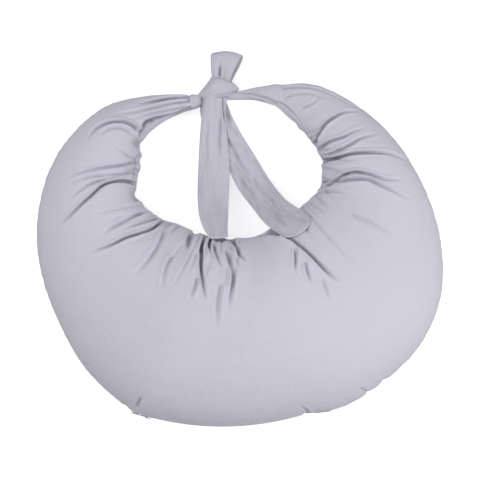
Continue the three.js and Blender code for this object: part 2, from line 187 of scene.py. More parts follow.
# Wrinkles: how many, which rim (1 inner, 0 outer), which way round, how far in, how deep.
WRINKLE_ROWS = ((46, 1, -1, 0.42, 2.4), (30, 0, 1, 0.18, 1.1))
WRINKLE_SEED = 4
WRINKLE_SPAN = (0.09, 0.91)  # where along the crescent they start and end
WRINKLE_STRAY = 0.4  # how far one may be out of its place, as a share of the gap to the next
WRINKLE_LEAN = 0.35 / 40  # how far one may lean, as a share of the crescent's length
WRINKLE_POINTS = 5
WRINKLE_LENGTHS = (0.4, 1)  # least and greatest, as shares of the row's own reach
WRINKLE_DEPTHS = (0.5, 1)
WRINKLE_WIDTHS = (3.5, 6)
WRINKLE_ROLLS = (0.1, 0.8)
SMOOTH_RIM = (6, 58, 40)  # from this x to this one, below this y, the inner rim has no wrinkles
# Ripples at the inner and at the outer rim: how fast they die away from it, wave lengths, height.
RIPPLE_ROWS = ((0.7, (17, 23, 31), 2.6), (2.5, (24, 33), 0.8))
RIPPLE_SEED = 3
RIPPLE_DRIFT = (60, -2, 2)  # how their phase, slant and size drift: step, least, greatest
RIPPLE_SLANT = (90, -3, 3)
RIPPLE_SWELL = (50, 0.1, 1)
RIPPLE_ENDS = 12  # rings over which they grow from each end
SEAM_GROOVE = 1.5
SEAM_WIDTH = 1.6
PUCKER_HEIGHT = 0.4
PUCKER_SEED = 11
PUCKERS = ((13, 1), (19, -1.4), (29, 0.7))  # wave length, and how much of the drift it takes
PUCKER_DRIFT = (45, -2.5, 2.5)
PUCKER_SWELL = (45, 0.15, 1)
PUCKER_REACH = 17
PUCKER_CLEAR = 3  # how close to the seam they go
# The slot that the zip shows through.
SLOT_HALF = 6
SLOT_DEPTH = 5.4
SLOT_LIP = 0.8
SLOT_FADE = (10, 24)  # how far above and below the zip the cloth starts and ends leaving the true arc
SLOT_ENDS = (0.006, 0.004)  # radians before and after the zip's end over which the arc ends
SLOT_BAND = 60  # how far in from the arc a point still belongs to the outer rim
RIM_FALL = 61.65  # how far the rim's curve falls back by the height of the crown

# ---- How the cover settles ----

RELAX_FRAMES = 18
RELAX_CAP = 9  # how far the simulation may move a point
RELAX_CLOTH = {
    "quality": 6, "mass": 0.2, "tension_stiffness": 18, "compression_stiffness": 18, "shear_stiffness": 6,
    "bending_stiffness": 0.3, "use_pressure": True, "uniform_pressure_force": 3, "vertex_group_mass": "held",
}
CUT_SHARES = (0.8, 2.2)  # how much of the creases and of the ripples the cloth is cut to
START_SHARES = (0.4, 0.5)  # and how much it starts with
HELD_INNER = 0.8  # how firmly the inner rim is held; the outer rim and the ends are held fast
HELD_RINGS = 6
CALM_PASSES = 2

# ---- The ties ----

CLOTH = 2.0  # a tie is a folded strip, two layers of the cover's cotton
TIE_PAINTED_SHADE_DEPTH = 3.0  # the depth at which the shade painted into a tie's fold is darkest
EDGE_POWER = 12  # how square a strip's edges are, and how thin at the least
EDGE_LEAST = 0.1
END_THIN = 0.6
SLEEVE_POWER = 2.4
TAIL_GRID = (170, 44)  # points along and across a strip, or round the knot
LOOP_GRID = (90, 36)
RIGHT_GRID = (80, 36)
LEFT_GRID = (50, 36)
KNOT_GRID = (70, 96)
# Guides run along a strip from the knot outwards, side by side across it: x, y, z.
FRONT_TAIL = [
    [(-55, 209, 37), (-56, 196, 39), (-57, 179, 36), (-59.5, 149, 31), (-62, 102, 32), (-63, 74, 39),
     (-62, 48, 54), (-59, 29, 70), (-52, 12, 84), (-43, -0.5, 98)],
    [(-46, 209, 40), (-47, 196, 41), (-47, 179, 37.5), (-48.5, 149, 32.5), (-50, 102, 33), (-51, 74, 40.5),
     (-50, 48, 55), (-47.5, 29, 71), (-42, 13, 85), (-36, -0.5, 99)],
    [(-34, 209, 41), (-35, 196, 41.5), (-36, 179, 37), (-37.5, 149, 32), (-39, 102, 32.5), (-40, 74, 40),
     (-40, 48, 55), (-38, 29, 71.5), (-34, 13, 86), (-30, 0, 99)],
    [(-27, 209, 40), (-28, 196, 40.5), (-28, 179, 37), (-27, 149, 32), (-27, 102, 32), (-27.5, 74, 39),
     (-28, 48, 53.5), (-27.5, 29, 70), (-26, 13, 85), (-23.5, 1, 99)],
    [(-24, 209, 34), (-24, 196, 36), (-21, 176, 34), (-17, 140, 30.5), (-15.5, 102, 31), (-16, 74, 38),
     (-17, 48, 53), (-17.5, 29, 69), (-18, 13, 84), (-17.5, 2, 97)],
]
BACK_TAIL = [
    [(-60, 207, 27), (-58, 182, 26), (-42, 141, 27), (-16, 100, 26), (0, 70, 29), (18, 46, 46),
     (35, 24, 78), (50, 11, 105), (66, 1, 121)],
    [(-45, 205, 31), (-43, 182, 28), (-30, 146, 28), (-6, 106, 27), (10, 75, 31), (28, 51, 48),
     (44, 30, 80), (60, 16, 107), (77, 2, 124)],
    [(-34, 205, 33), (-31, 183, 29), (-20, 150, 28), (3.5, 111, 27), (21, 80, 31), (38, 57, 48),
     (54, 37, 79), (71, 23, 105), (89, 8, 124)],
    [(-27, 206, 32), (-22, 185, 29), (-10, 154, 27.5), (13, 117, 26), (31, 86, 30), (47, 64, 46),
     (63, 45, 75), (79, 33, 97), (100, 20, 118)],
    [(-21, 206, 30), (-13, 184, 28), (0, 159, 26.5), (23, 122, 25), (41, 92, 28), (56.5, 70, 43),
     (71, 53, 68), (85, 44, 86), (101, 33, 103)],
]
LOOP = [
    [(-41, 234, 31), (-42.5, 245, 34), (-43.5, 260, 36), (-43.5, 271, 33), (-42.5, 274.5, 27),
     (-42, 271, 21), (-41.5, 259, 18.5), (-40, 245, 20), (-38, 234, 22)],
    [(-34, 234, 33.5), (-35, 245, 36.5), (-36, 260, 38.5), (-35.5, 272.5, 34.5), (-35, 276, 27),
     (-35, 272, 20), (-34, 259, 17.5), (-33, 245, 19), (-32, 234, 22)],
    [(-28.5, 234, 31), (-28, 245, 33), (-26.5, 260, 38), (-25, 274, 35), (-24, 277.5, 27),
     (-24, 273, 20), (-25, 259, 17), (-26, 245, 19), (-27, 234, 22)],
    [(-21, 233, 33.5), (-19, 245, 37), (-15, 259, 38.5), (-12, 273, 35), (-11, 276.5, 27),
     (-11, 272, 20), (-14, 258, 17), (-18, 245, 19), (-21, 233, 22)],
    [(-14.5, 232, 31), (-12, 242, 34), (-6, 255, 36), (0, 267, 33.5), (3.5, 272, 27.5),
     (4.5, 268, 20), (-0.5, 256, 17), (-7, 244, 19), (-13, 232, 22)],
]
RIGHT_LEAD = [
    [(62, 228.3, 24), (53, 229.3, 24.5), (38, 226.5, 26), (20, 223.5, 28), (6, 219.5, 29),
     (-8, 216.5, 29), (-24, 216, 28)],
    [(62, 222, 25), (53, 221, 26), (38, 219.5, 28), (20, 217.5, 30), (6, 216, 31),
     (-8, 214.5, 30), (-24, 213.5, 28)],
    [(62, 213, 25), (53, 212, 26), (38, 213, 28.5), (20, 213.5, 31), (6, 213, 31),
     (-8, 212, 30), (-24, 211, 28)],
    [(62, 204, 25), (53, 205, 26), (38, 208, 28), (20, 210.5, 29.5), (6, 210, 30),
     (-8, 209, 29), (-24, 208.5, 28)],
    [(62, 197.2, 24), (53, 197.7, 24.5), (38, 202.5, 25.5), (20, 206, 27), (6, 206.5, 28),
     (-8, 206, 28), (-24, 206, 28)],
]
RIGHT_SLEEVE = (10, 10.8, 7.5, 5.5, 4, 3.5, 3)  # half thickness of the sleeve sewn over the horn's end
LEFT_LEAD = [
    [(-73, 214.5, 22), (-66, 214, 22.5), (-60.5, 212.5, 23), (-56, 213, 24), (-44, 217, 27)],
    [(-73, 208.5, 22), (-66, 208, 23), (-60.5, 207.5, 24), (-56, 211, 25), (-44, 214, 27)],
    [(-73, 199, 22), (-66, 199.5, 23), (-60.5, 201, 24), (-56, 208, 25), (-44, 211, 27)],
    [(-73, 192, 22), (-66, 193, 22.5), (-60.5, 196, 23), (-56, 206.5, 24), (-44, 209, 27)],
]
LEFT_SLEEVE = (10.5, 10.3, 9, 3, 2.5)
# The knot's wrap, from left to right: x, upper and lower edge, half its thickness.
KNOT = [
    (-62.5, 213.8, 212, 2), (-57, 220, 208.5, 9), (-51, 226.5, 203.5, 14), (-46, 233, 201.5, 17),
    (-41, 240, 202, 19), (-34, 242, 203.5, 20), (-26.5, 239.5, 206.5, 19), (-19, 236, 209.5, 16),
    (-13, 232.5, 213.5, 12), (-8, 229, 217, 8), (-4, 225.5, 219.3, 4.5), (-1.3, 223, 221, 2),
]
KNOT_LEVEL = 27
KNOT_FOLDS = 0.75
KNOT_WAVES = ((6, 2.5, 0.4, 1), (11, -4, 1.3, 0.7))  # folds round it, twist along it, phase, share
# What folds each tie has, by the function that makes them and in the order of what it takes.
FRONT_RELIEF = {
    "pleats": [(2.5, 1.0, 0.15, 0.3)],
    "soft_folds": [(5, 1.1, 3, 6), (31, 0.4, 7, 22)],
    "hem": [(0.7, 0.03)],
    "fold": [((0.7, 0.86), -0.04, 0.17, 6, 0.07), ((0.45, 0.25), 0.12, 0.42, 2.0, 0.09),
             ((-0.6, -0.5), 0.1, 0.5, 1.2, 0.1)],
}
BACK_RELIEF = {
    "pleats": [(2.2, 1.2, 0.2, -0.4)],
    "soft_folds": [(8, 1.5, 3.2, 7), (21, 0.95, 6, 22)],
    "hem": [(0.7, 0.025)],
    "fold": [((0.2, -0.3), 0.1, 0.5, 1.8, 0.1), ((-0.1, 0.4), 0.35, 0.75, 1.5, 0.1)],
}
LOOP_RELIEF = {"pleats": [(3, 0.5, 0.12, 0)], "fold": [((-0.15, -0.1), 0.04, 0.3, 3.5, 0.08)]}
RIGHT_RELIEF = {"pleats": [(1.5, 0.4, 0.9, 0)], "fold": [((0.85, -0.8), 0.0, 0.9, 3.6, 0.11)]}
NO_RELIEF = {}
END_CALM = 0.7  # how much of its folds a strip loses at its far end
PLEAT_PHASE = 0.6
SOFT_TERMS = 5
SOFT_LEAST = (0.6, 0.5)  # fewest half waves across the strip and along it
SOFT_TURN = 6.3
SOFT_SLANT = 1.2
SOFT_SCALE = 2.2
HEM_EDGE = 0.006
FOLD_PEAK = 0.35  # where along itself a fold is deepest, and how far from there it fades
FOLD_FADE = 0.45
FOLD_RIDGE = 0.7
DRAPE_FROM = 300  # height from which rays look for the cover under a tie
DRAPE_GAP = 2.2  # from the cover to the middle of a tie that lies on it
DRAPE_PASSES = 30

# ---- Stitches and the zip ----

STITCH = 2.4  # length of a stitch, and of the gap to the next
STITCH_GAP = 1.0
THREAD = 0.32  # radius of the thread
THREAD_ARCH = (-1, 0.5, 1, 1, 0.5, -1)  # its height over the cloth along a stitch, in radii
THREAD_SIDES = 6
HEM_ROW = 4  # rows of the grid from a tail's end to its stitches, and columns from its edges
HEM_INSET = 3
ZIP_SEAM = 9.5  # from the zip's middle to the row of stitches on each side
ZIP_SEAM_STEPS = 40  # steps round a ring within which that row lies
COIL_RADIUS = 1.0
COIL_PITCH = 1.9
COIL_WIRE = 0.42
COIL_STEPS = 12  # to a turn
COIL_SHARE = 0.985  # of the zip's length

# ---- Colours and cloth ----

COVER_BASE = (0.60, 0.585, 0.665)
COVER_WORN = (0.56, 0.545, 0.62)
TIE_BASE = COVER_WORN
TIE_WORN = (0.48, 0.47, 0.54)
TIE_CRUMPLE = 1.6
CASING_BASE = (0.85, 0.84, 0.8)
CASING_WORN = (0.8, 0.79, 0.76)
NYLON = (0.42, 0.41, 0.48)
TAPE = (0.44, 0.43, 0.50)
METAL = (0.50, 0.49, 0.56)
RIBBON = (0.86, 0.86, 0.84)
THREADS = 1400  # of the cotton's weave, to a metre
WAVE_BANDS = 3.1831  # bands to a metre that a wave texture has at a scale of 1

# ---- Studio, in metres and watts ----

FLOOR_HALF = 3
FLOOR_DROP = 0.0005
FLOOR_GLOW = 0.55
PAPER = (0.9, 0.9, 0.9)
TENT_RADIUS = 12
TENT = (0.95, 0.95, 0.96)
SKY = (0.97, 0.98, 1)
SKY_LEVELS = {"From Min": -0.1, "From Max": 0.5, "To Min": 0.4, "To Max": 0.69}  # how high, how bright
LIGHTS = (("key", (1.25, -0.35, 0.95), 0.7, 9), ("fill", (-0.9, 0.5, 1.6), 1.6, 11))  # place, side, power
LIGHTS_AIM = (0, 0, 0.05)
LENS = 190
SENSOR = 36
FRAME_WIDTH = 0.706  # across the picture at the seam's height
FRAME_SHIFT = -0.0022
SEAM_LEVEL = 0.065


# ==== Curves and grids ====

def spline(points, at):
    """A centripetal Catmull-Rom curve through points, at parameters counted in points."""
    pts = np.asarray(points, float)
    pts = np.vstack([2 * pts[0] - pts[1], pts, 2 * pts[-1] - pts[-2]])
    at = np.clip(np.asarray(at, float), 0, len(points) - 1)
    k = np.minimum(at.astype(int), len(points) - 2)
    t = (at - k)[:, None]
    a, b, c, d = pts[k], pts[k + 1], pts[k + 2], pts[k + 3]
    step = lambda p, q: np.maximum(np.linalg.norm(q - p, axis=1), 1e-9)[:, None] ** 0.5
    ab, bc, cd = step(a, b), step(b, c), step(c, d)
    out = ((b - a) / ab - (c - a) / (ab + bc) + (c - b) / bc) * bc
    into = ((c - b) / bc - (d - b) / (bc + cd) + (d - c) / cd) * bc
    lift = 2 * b - 2 * c + out + into
    bend = -3 * b + 3 * c - 2 * out - into
    return ((lift * t + bend) * t + out) * t + b


def even(points, count):
    """Parameters of count points evenly spaced along the curve."""
    fine = np.linspace(0, len(points) - 1, 2000)
    run = run_along(spline(points, fine))
    return np.interp(np.linspace(0, run[-1], count), run, fine)


def run_along(line):
    """How far along a line each of its points is."""
    return np.concatenate([[0], np.cumsum(np.linalg.norm(np.diff(line, axis=0), axis=1))])


def from_ends(count):
    """How many places each of count places is from the nearer end."""
    return np.minimum(np.arange(count), np.arange(count)[::-1])


def unit(vectors):
    length = np.linalg.norm(vectors, axis=-1, keepdims=True)
    return vectors / np.maximum(length, 1e-9)


def bell(x, power=2):
    return np.exp(-(x ** power))


def smoothstep(low, high, value):
    t = np.clip((value - low) / (high - low), 0, 1)
    return t * t * (3 - 2 * t)


def rungs():
    """The table of rungs from the left horn to the right one; those of the belly end on the zip's arc."""
    last = len(BELLY_INNER_EDGE) - 1
    belly = []
    for i, (x, y) in enumerate(BELLY_INNER_EDGE):
        angle = -math.pi / 2 + ZIP_HALF_ANGLE * (2 * i / last - 1)
        rim = (ZIP_CENTRE[0] + ZIP_RADIUS * math.cos(angle), ZIP_CENTRE[1] + ZIP_RADIUS * math.sin(angle))
        belly.append((*rim, x, y, *BELLY))
    return np.array(LEFT_RUNGS + belly + RIGHT_RUNGS, float)


def crescent_grid(inset=0, stations=STATIONS, half_steps=HALF_STEPS, first=0):
    """Rings of the stuffed form before it settles: [station, step round the ring, xyz]. A form inside
    the cover has an inset from it, and leaves out the first rungs at each end."""
    table = rungs()
    mean_line = (table[:, 0:2] + table[:, 2:4]) / 2
    at = even(mean_line, stations)
    at = at[(at >= first) & (at <= (len(table) - 1 - first))]
    outer, inner = spline(table[:, 0:2], at), spline(table[:, 2:4], at)
    seam, crown, keel = spline(table[:, 4:7], at).T
    share = np.arange(2 * half_steps) / half_steps
    turn = math.pi * (share - RIM_BIAS * np.sin(2 * math.pi * share) / (2 * math.pi))
    middle, half = (outer + inner) / 2, (outer - inner) / 2
    width = np.linalg.norm(half, axis=1)
    across = np.cos(turn)[None, :] * (1 - inset / width)[:, None]
    grid = np.empty((len(at), 2 * half_steps, 3))
    grid[:, :, :2] = middle[:, None, :] + half[:, None, :] * across[:, :, None]
    rise = np.where(np.sin(turn)[None, :] >= 0, crown[:, None], keel[:, None]) - inset
    grid[:, :, 2] = np.maximum(inset, seam[:, None] + rise * np.sin(turn)[None, :])
    return eased(grid, stations // EASE_SHARE)


def eased(grid, reach):
    """Evens out the swell from ring to ring, and leaves both rims and the ends where they are."""
    share = np.arange(grid.shape[1]) / grid.shape[1]
    inward = np.abs(np.sin(2 * math.pi * share)) ** 0.5
    padded = np.concatenate([grid[:1].repeat(reach, axis=0), grid, grid[-1:].repeat(reach, axis=0)])
    kernel = np.hanning(2 * reach + 3)[1:-1]
    mean = sum(k * padded[i : i + len(grid)] for i, k in enumerate(kernel)) / kernel.sum()
    weight = inward[None, :] * np.clip(from_ends(len(grid)) / (2 * reach), 0, 1)[:, None]
    return grid + (mean - grid) * weight[:, :, None]


def grid_normals(grid):
    along = np.gradient(grid, axis=0)
    round_ = np.roll(grid, -1, axis=1) - np.roll(grid, 1, axis=1)
    return unit(np.cross(along, round_))


def cloth_lengths(grid):
    """Millimetres run along each column and round each ring, which lay the weave out on the cloth."""
    along = np.linalg.norm(np.diff(grid, axis=0), axis=2)
    round_ = np.linalg.norm(np.roll(grid, -1, axis=1) - grid, axis=2)
    u = np.vstack([np.zeros(grid.shape[1]), np.cumsum(along, axis=0)])
    v = np.hstack([np.zeros((grid.shape[0], 1)), np.cumsum(round_, axis=1)])
    return np.hstack([u, u[:, :1]]), v


def ring_faces(rows, columns, start):
    """Quads between the rings, and a ladder of quads across each end."""
    i, j = np.meshgrid(np.arange(rows - 1), np.arange(columns), indexing="ij")
    k = (j + 1) % columns
    quads = np.stack([i * columns + j, (i + 1) * columns + j, (i + 1) * columns + k, i * columns + k], -1)
    near = np.arange(columns // 2 - 1)
    far = columns - 1 - near
    first_end = np.stack([near, near + 1, far - 1, far], -1)
    last_end = np.stack([near + 1, near, far, far - 1], -1) + (rows - 1) * columns
    return (np.vstack([quads.reshape(-1, 4), first_end, last_end]) + start).tolist()


def weave_corners(grid):
    """Where each corner of each face lies on the woven cloth."""
    rows, columns = grid.shape[:2]
    i, j = np.meshgrid(np.arange(rows - 1), np.arange(columns), indexing="ij")
    u, v = cloth_lengths(grid)
    corners = [(i, j), (i + 1, j), (i + 1, j + 1), (i, j + 1)]
    laid = np.stack([np.stack([u[c], v[c]], -1) for c in corners], 2).reshape(-1, 2)
    return np.vstack([laid, np.zeros((4 * columns - 8, 2))]) * MM


def add_object(name, data):
    made = bpy.data.objects.new(name, data)
    bpy.context.scene.collection.objects.link(made)
    return made


def ring_mesh(name, *grids, shade=None):
    """One mesh of closed forms, each a grid whose rings close on themselves. Shade says how deep in a
    fold each point is; it is kept as the fold attribute, from which the cloth paints shade."""
    points, faces, laid = [], [], []
    for grid in grids:
        faces += ring_faces(*grid.shape[:2], sum(len(p) for p in points))
        points.append(grid.reshape(-1, 3) * MM)
        laid.append(weave_corners(grid))
    mesh = bpy.data.meshes.new(name)
    mesh.from_pydata(np.vstack(points).tolist(), [], faces)
    mesh.polygons.foreach_set("use_smooth", [True] * len(mesh.polygons))
    mesh.uv_layers.new(name="weave").data.foreach_set("uv", np.vstack(laid).ravel())
    if shade is not None:
        # The fold attribute carries the painted shade of creases and folds into the material.
        fold = mesh.attributes.new("fold", "FLOAT", "POINT")
        fold.data.foreach_set("value", shade.ravel())
    mesh.update()
    return mesh


def place(name, grids, material, slot_name, *nodes, shade=None):
    """Puts closed forms in the scene as a piece that stands for CAD nodes."""
    piece = add_object(name, ring_mesh(name, *grids, shade=shade))
    piece.data.materials.append(material)
    if nodes:
        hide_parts(*nodes)
    return piece


def show(name, grids, material, body, slot_name, *nodes, shade=None):
    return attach(place(name, grids, material, slot_name, *nodes, shade=shade), body)


# ==== The stuffed cover ====

def wrinkles(grid):
    """Small seeded creases that fan out from the inner rim, and shorter ones along the outer rim."""
    rng = np.random.default_rng(WRINKLE_SEED)
    half = grid.shape[1] // 2
    share = np.linspace(0, 1, WRINKLE_POINTS)
    left, right, top = SMOOTH_RIM
    made = []
    for count, rim, step, reach, depth in WRINKLE_ROWS:
        for row in np.linspace(*WRINKLE_SPAN, count) * len(grid):
            row = int(row + rng.uniform(-WRINKLE_STRAY, WRINKLE_STRAY) * len(grid) / count)
            lean = rng.uniform(-WRINKLE_LEAN, WRINKLE_LEAN) * len(grid)
            length = rng.uniform(*WRINKLE_LENGTHS) * reach * half
            rows = (row + lean * share ** 1.4).astype(int)
            steps = rim * half + step * (2 + share * length)
            route = grid[rows, steps.astype(int), :2]
            size = depth * rng.uniform(*WRINKLE_DEPTHS), rng.uniform(*WRINKLE_WIDTHS)
            rolls = rng.uniform(*WRINKLE_ROLLS, 2)
            x, y = route[0]
            if not (rim and y < top and left < x < right):
                made.append((route, *size, *rolls))
    return made


def crease_shift(grid, creases, spread, power, share_upper=0.5):
    """How far each creased point of the upper side moves along its normal: into a valley whose wall
    is steep on the side that rolls up the more, and up the rolls beside it."""
    upper = np.zeros(grid.shape[:2], bool)
    upper[:, : int(share_upper * grid.shape[1]) + 1] = True
    plan = grid[:, :, :2]
    shift = np.zeros(grid.shape[:2])
    for route, depth, width, left, right in creases:
        width = width * spread
        line = spline(route, even(route, len(route) * CREASE_SAMPLES))
        reach = CREASE_REACH * width
        low, high = line.min(axis=0) - reach, line.max(axis=0) + reach
        near = upper & np.all((plan > low) & (plan < high), axis=2)
        gap = plan[near][:, None, :] - line[None, :, :]
        distance = np.hypot(gap[:, :, 0], gap[:, :, 1])
        nearest = distance.argmin(axis=1)
        each = np.arange(len(nearest))
        d, off = distance[each, nearest], gap[each, nearest]
        tangent = np.gradient(line, axis=0)
        on_left = tangent[nearest, 0] * off[:, 1] - tangent[nearest, 1] * off[:, 0] > 0
        along = nearest / (len(line) - 1)
        opens = np.clip(along / CREASE_HEAD, CREASE_START, 1)
        fade = opens * np.clip((1 - along) / CREASE_TAIL, 0, 1) ** 0.8
        past_end = (nearest == 0) | (nearest == len(line) - 1)
        fade *= np.where(past_end, bell(d / (CREASE_END * width)), 1)
        wall = np.where(on_left == (left > right), CREASE_STEEP, CREASE_GENTLE) if left != right else 1
        valley = -depth * bell(d / (width * wall), power)
        roll = np.where(on_left, left, right) * bell((d - ROLL_PLACE * width) / (ROLL_WIDTH * width))
        shift[near] += fade * (valley + roll)
    room = CREASE_ROOM * (grid[:, :, 2].max(axis=1) - grid[:, 0, 2])
    return np.maximum(shift, -room[:, None])


def curve_rows(values, at, closed=False):
    """Rows of values at fractional places, by a smooth curve through the rows there are."""
    k = np.floor(at).astype(int)
    if closed:
        a, b, c, d = [values[(k + i) % len(values)] for i in (-1, 0, 1, 2)]
    else:
        k = np.minimum(k, len(values) - 2)
        padded = np.concatenate([2 * values[:1] - values[1:2], values, 2 * values[-1:] - values[-2:-1]])
        a, b, c, d = [padded[k + i] for i in range(4)]
    t = (at - k).reshape(-1, *[1] * (values.ndim - 1))
    curve = (2 * a - 5 * b + 4 * c - d) * t ** 2 + (3 * b - a - 3 * c + d) * t ** 3
    return 0.5 * (2 * b + (c - a) * t + curve)


def finer(grid):
    """The settled grid with many more points, most of them on the upper side, where the creases are."""
    half = grid.shape[1] / 2
    upper = np.linspace(0, half, FINE_UPPER, endpoint=False)
    lower = np.linspace(half, 2 * half, FINE_LOWER, endpoint=False)
    tall = curve_rows(grid, np.linspace(0, len(grid) - 1, FINE_ROWS))
    wide = curve_rows(tall.swapaxes(0, 1), np.append(upper, lower), closed=True)
    return wide.swapaxes(0, 1)


def calmed(grid):
    """Takes out the unevenness between neighbouring rings and steps that the simulation leaves."""
    rims = (0, grid.shape[1] // 2)
    out = grid.copy()
    for _ in range(CALM_PASSES):
        out[1:-1] = (out[:-2] + 2 * out[1:-1] + out[2:]) / 4
        round_ = (np.roll(out, 1, axis=1) + 2 * out + np.roll(out, -1, axis=1)) / 4
        round_[:, rims] = out[:, rims]
        out = round_
    return out


def add_cloth(piece, key):
    """Cloth under pressure, cut to the size of a shape key."""
    cloth = piece.modifiers.new("relax", "CLOTH")
    for name, value in RELAX_CLOTH.items():
        setattr(cloth.settings, name, value)
    cloth.settings.effector_weights.gravity = 0
    cloth.settings.rest_shape_key = key
    cloth.point_cache.frame_start = 1
    cloth.point_cache.frame_end = RELAX_FRAMES


def relaxed(grid, rest, hold):
    """The grid after its cloth, cut to the size of rest, has settled round the filling."""
    scene = bpy.context.scene
    mesh = ring_mesh("relax", grid)
    piece = add_object("relax", mesh)
    piece.shape_key_add(name="start")
    key = piece.shape_key_add(name="cut")
    key.data.foreach_set("co", rest.ravel() * MM)
    group = piece.vertex_groups.new(name=RELAX_CLOTH["vertex_group_mass"])
    for level in np.unique(hold[hold > 0]):
        group.add(np.flatnonzero(hold.ravel() == level).tolist(), float(level), "REPLACE")
    add_cloth(piece, key)
    for step in range(1, RELAX_FRAMES + 1):
        scene.frame_set(step)
    seen = piece.evaluated_get(bpy.context.evaluated_depsgraph_get()).to_mesh()
    after = np.empty(len(seen.vertices) * 3)
    seen.vertices.foreach_get("co", after)
    scene.frame_set(1)
    bpy.data.objects.remove(piece)
    bpy.data.meshes.remove(mesh)
    move = after.reshape(grid.shape) / MM - grid
    far = np.linalg.norm(move, axis=2, keepdims=True)
    return grid + move * np.minimum(1, RELAX_CAP / np.maximum(far, 1e-6))


def drifting(rng, run, step, least, greatest):
    """Values that drift at random along a run, with one drawn at every step of it."""
    knots = np.arange(0, run[-1] + step, step)
    return np.interp(run, knots, rng.uniform(least, greatest, len(knots)))


def ripples(grid):
    """Waves across the rims, which stand for the length of cloth that the seams gather."""
    rng = np.random.default_rng(RIPPLE_SEED)
    turn = np.arange(grid.shape[1]) / grid.shape[1]
    rims = ((grid[:, grid.shape[1] // 2], np.abs(turn - 0.5)), (grid[:, 0], np.minimum(turn, 1 - turn)))
    lean = np.linspace(-1, 1, grid.shape[1])[None, :]
    wave = np.zeros(grid.shape[:2])
    for (line, far), (power, lengths, height) in zip(rims, RIPPLE_ROWS):
        run = run_along(line)
        weight = np.clip(1 - 4 * far, 0, 1)[None, :] ** power
        for length in lengths:
            drift = drifting(rng, run, *RIPPLE_DRIFT)
            slant = drifting(rng, run, *RIPPLE_SLANT)
            swell = drifting(rng, run, *RIPPLE_SWELL)
            phase = (2 * math.pi * run / length + drift)[:, None] + slant[:, None] * lean
            wave += height * swell[:, None] * weight * np.sin(phase) / len(lengths) ** 0.5
    return wave * np.clip(from_ends(len(grid)) / RIPPLE_ENDS, 0, 1)[:, None]


def seam_shift(grid):
    """The outer seam: a narrow groove, with puckers that die away above and below it."""
    rng = np.random.default_rng(PUCKER_SEED)
    rim = grid[:, 0]
    run = run_along(rim)
    off = np.linalg.norm(grid - rim[:, None, :], axis=2)
    groove = -SEAM_GROOVE * bell(off / SEAM_WIDTH)
    drift = drifting(rng, run, *PUCKER_DRIFT)
    swell = drifting(rng, run, *PUCKER_SWELL)
    waves = sum(np.sin(2 * math.pi * run / length + drift * turn) for length, turn in PUCKERS)
    reach = bell(off / PUCKER_REACH, 1.3) * (1 - bell(off / PUCKER_CLEAR))
    return groove + PUCKER_HEIGHT * (swell * waves)[:, None] * reach


def notch_shift(grid):
    """The tucks that nick the outline, on the outer rim and on the inner one."""
    shift = np.zeros(grid.shape[:2])
    for x, y, depth, width in NOTCHES:
        shift -= depth * bell(np.hypot(grid[:, :, 0] - x, grid[:, :, 1] - y) / width, 1.5)
    return shift


def open_zip_slot(grid):
    """Sets the cloth beside the zip to the rim's true arc and sinks the slot that the zip shows through."""
    centre = np.array(ZIP_CENTRE[:2])
    spoke = grid[:, :, :2] - centre
    radius = np.hypot(spoke[:, :, 0], spoke[:, :, 1])
    angle = np.abs(np.arctan2(spoke[:, :, 0], -spoke[:, :, 1]))
    rise = np.abs(grid[:, :, 2] - ZIP_CENTRE[2])
    before, after = SLOT_ENDS
    on_arc = 1 - smoothstep(ZIP_HALF_ANGLE - before, ZIP_HALF_ANGLE + after, angle)
    share = (radius > ZIP_RADIUS - SLOT_BAND) * on_arc * (1 - smoothstep(*SLOT_FADE, rise))
    true_radius = ZIP_RADIUS - RIM_FALL * (rise / BELLY[1]) ** 2
    true_radius -= SLOT_DEPTH * (1 - smoothstep(SLOT_HALF - SLOT_LIP, SLOT_HALF + SLOT_LIP, rise))
    new_radius = radius + share * (true_radius - radius)
    out = grid.copy()
    out[:, :, :2] = centre + spoke * (new_radius / radius)[:, :, None]
    return out


def build_cover_grid():
    """The settled and creased cover, and how deep in a fold each of its points is, which sets the shade
    painted into its creases.
    """
    grid = crescent_grid()
    normal = grid_normals(grid)
    waves = ripples(grid)
    creases = CREASES + wrinkles(grid)
    broad = crease_shift(grid, creases, *BROAD)
    cut, start = [
        grid + normal * (creased * broad + rippled * waves)[:, :, None]
        for creased, rippled in (CUT_SHARES, START_SHARES)
    ]
    hold = np.zeros(grid.shape[:2])
    hold[:, 0] = 1
    hold[:, grid.shape[1] // 2] = HELD_INNER
    hold[:HELD_RINGS] = hold[-HELD_RINGS:] = 1
    settled = relaxed(start, cut, hold)
    fine = finer(calmed(settled))
    crisp = CRISP_DEPTH * crease_shift(fine, creases, *CRISP, FINE_UPPER / (FINE_UPPER + FINE_LOWER))
    shift = crisp + seam_shift(fine) + notch_shift(fine)
    fine = open_zip_slot(fine + grid_normals(fine) * shift[:, :, None])
    fine[:, :, 2] = np.maximum(fine[:, :, 2], 0)
    # Painted shade: the deeper a point lies in a crease, the darker the cloth's colour is painted there.
    return fine, np.clip(-shift / PAINTED_CREASE_SHADE_DEPTH, 0, 1)


# ==== The ties ====

def strip_middle(guides, rows, columns):
    """The middle layer of a strip, smooth along its guides and across them."""
    at = even(guides[len(guides) // 2], rows)
    lines = np.stack([spline(g, at) for g in guides])
    return curve_rows(lines, np.linspace(0, len(guides) - 1, columns)).swapaxes(0, 1)


def around(values):
    """Each value's three-by-three neighbourhood, as nine arrays."""
    padded = np.pad(values, 1, mode="edge")
    rows, columns = values.shape
    return [padded[i : i + rows, j : j + columns] for i in range(3) for j in range(3)]


